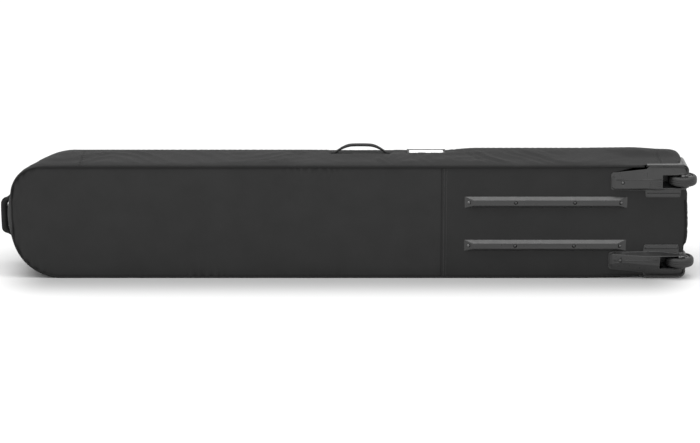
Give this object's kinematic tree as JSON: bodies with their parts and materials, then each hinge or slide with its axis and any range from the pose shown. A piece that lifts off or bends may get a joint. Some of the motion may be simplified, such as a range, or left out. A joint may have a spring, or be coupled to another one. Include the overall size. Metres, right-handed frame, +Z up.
{
  "type": "snowboard bag",
  "caption": "Long padded wheeled bag for a snowboard, with a rounded nose, zipped lid, skid rails, two wheels in moulded housings and webbing handles.",
  "frame": {"origin": "on the flat lower side that the bag stands on, midway along its length and its depth", "axes": "+X along the bag from its rounded nose to its wheels, +Y from the base with the rails to the lid, +Z up across the bag's width"},
  "size_m": [1.744, 0.1941, 0.315],
  "materials": {
    "bag_fabric": "matt 600-denier plain weave",
    "tarp_fabric": "coated tarpaulin with a fine weave under the coating",
    "lining_fabric": "light grey-black taffeta lining",
    "padding": "closed-cell foam",
    "piping": "binding tape over cord",
    "webbing": "ribbed nylon webbing",
    "board": "polyethylene sheet",
    "moulded": "grained moulded nylon",
    "tyre": "cast urethane, satin",
    "hub": "moulded nylon",
    "bearing_steel": "ground",
    "fasteners": "black zinc",
    "zip_tape": "knitted tape",
    "zip_coil": "nylon coil",
    "zip_metal": "black enamel",
    "buckle": "moulded acetal",
    "card": "blank white card",
    "window": "clear vinyl"
  },
  "bodies": {
    "base": {"base_panel": "bag_fabric", "tail_panel": "tarp_fabric", "stiffener_board": "board", "base_foam": "padding", "base_lining": "lining_fabric", "nose_gusset": "bag_fabric", "top_gusset": "bag_fabric", "bottom_gusset": "bag_fabric", "tail_gusset": "bag_fabric", "gusset_foam": "padding", "gusset_lining": "lining_fabric", "back_piping": "piping", "front_piping": "piping", "zip_tape_bag": "zip_tape", "zip_coil_bag": "zip_coil", "zip_stops": "zip_metal", "lid_hinge_strip": "bag_fabric", "upper_wheel_housing": "moulded", "lower_wheel_housing": "moulded", "housing_screws": "fasteners", "upper_skid_rail": "moulded", "lower_skid_rail": "moulded", "rail_screws": "fasteners", "screw_washers": "fasteners", "screw_nuts": "fasteners", "bearing_inner_rings": "bearing_steel", "axle_spacers": "bearing_steel", "axle_bolts": "fasteners", "axle_nuts": "fasteners", "side_handle_base": "webbing", "nose_handle_patch": "tarp_fabric", "tail_handle_patch": "tarp_fabric", "label_pocket": "bag_fabric", "label_card": "card", "label_window": "window", "tie_straps": "webbing", "buckle_sockets": "buckle"},
    "lid": {"lid_panel": "bag_fabric", "lid_foam": "padding", "lid_lining": "lining_fabric", "zip_tape_lid": "zip_tape", "zip_coil_lid": "zip_coil"},
    "upper_wheel": {"upper_tyre": "tyre", "upper_hub": "hub", "upper_bearing_races": "bearing_steel", "upper_bearing_balls": "bearing_steel"},
    "lower_wheel": {"lower_tyre": "tyre", "lower_hub": "hub", "lower_bearing_races": "bearing_steel", "lower_bearing_balls": "bearing_steel"},
    "slider_1": {"zip_slider_1": "zip_metal"},
    "pull_1": {"zip_pull_1": "zip_metal"},
    "slider_2": {"zip_slider_2": "zip_metal"},
    "pull_2": {"zip_pull_2": "zip_metal"},
    "side_handle": {"side_handle": "webbing"},
    "nose_handle": {"nose_handle": "webbing"},
    "tail_handle": {"tail_handle": "webbing"},
    "buckle_1": {"buckle_plug_1": "buckle"},
    "buckle_2": {"buckle_plug_2": "buckle"}
  },
  "joints": [
    {"name": "lid_hinge", "type": "hinge", "parent": "base", "child": "lid", "pos_m": [0, 0.0803, 0.017], "axis": [-1, 0, 0], "range_deg": [0, 93]},
    {"name": "upper_wheel_spin", "type": "hinge", "parent": "base", "child": "upper_wheel", "pos_m": [0.832, -0.0725, 0.254], "axis": [0, 0, 1], "continuous": true},
    {"name": "lower_wheel_spin", "type": "hinge", "parent": "base", "child": "lower_wheel", "pos_m": [0.832, -0.0725, 0.044], "axis": [0, 0, 1], "continuous": true},
    {"name": "slider_1_travel", "type": "slide", "parent": "base", "child": "slider_1", "axis": [-1, 0, 0], "range_m": [0, 0.67]},
    {"name": "pull_1_swing", "type": "hinge", "parent": "slider_1", "child": "pull_1", "pos_m": [-0.0085, 0.0838, 0.28], "axis": [0, 0, -1], "range_deg": [0, 95]},
    {"name": "slider_2_travel", "type": "slide", "parent": "base", "child": "slider_2", "axis": [1, 0, 0], "range_m": [0, 0.53]},
    {"name": "pull_2_swing", "type": "hinge", "parent": "slider_2", "child": "pull_2", "pos_m": [0.0085, 0.0838, 0.28], "axis": [0, 0, 1], "range_deg": [0, 95]},
    {"name": "side_handle_swing", "type": "hinge", "parent": "base", "child": "side_handle", "pos_m": [0.032, 0.042, 0.296], "axis": [1, 0, 0], "range_deg": [-55, 55]},
    {"name": "nose_handle_swing", "type": "hinge", "parent": "base", "child": "nose_handle", "pos_m": [-0.8455, 0, 0.141], "axis": [0, 0, 1], "range_deg": [-40, 40]},
    {"name": "tail_handle_swing", "type": "hinge", "parent": "base", "child": "tail_handle", "pos_m": [0.8455, 0, 0.178], "axis": [0, 0, 1], "range_deg": [-30, 30]},
    {"name": "buckle_1_release", "type": "slide", "parent": "base", "child": "buckle_1", "axis": [0, 0, 1], "range_m": [0, 0.024]},
    {"name": "buckle_2_release", "type": "slide", "parent": "base", "child": "buckle_2", "axis": [0, 0, 1], "range_m": [0, 0.024]}
  ]
}
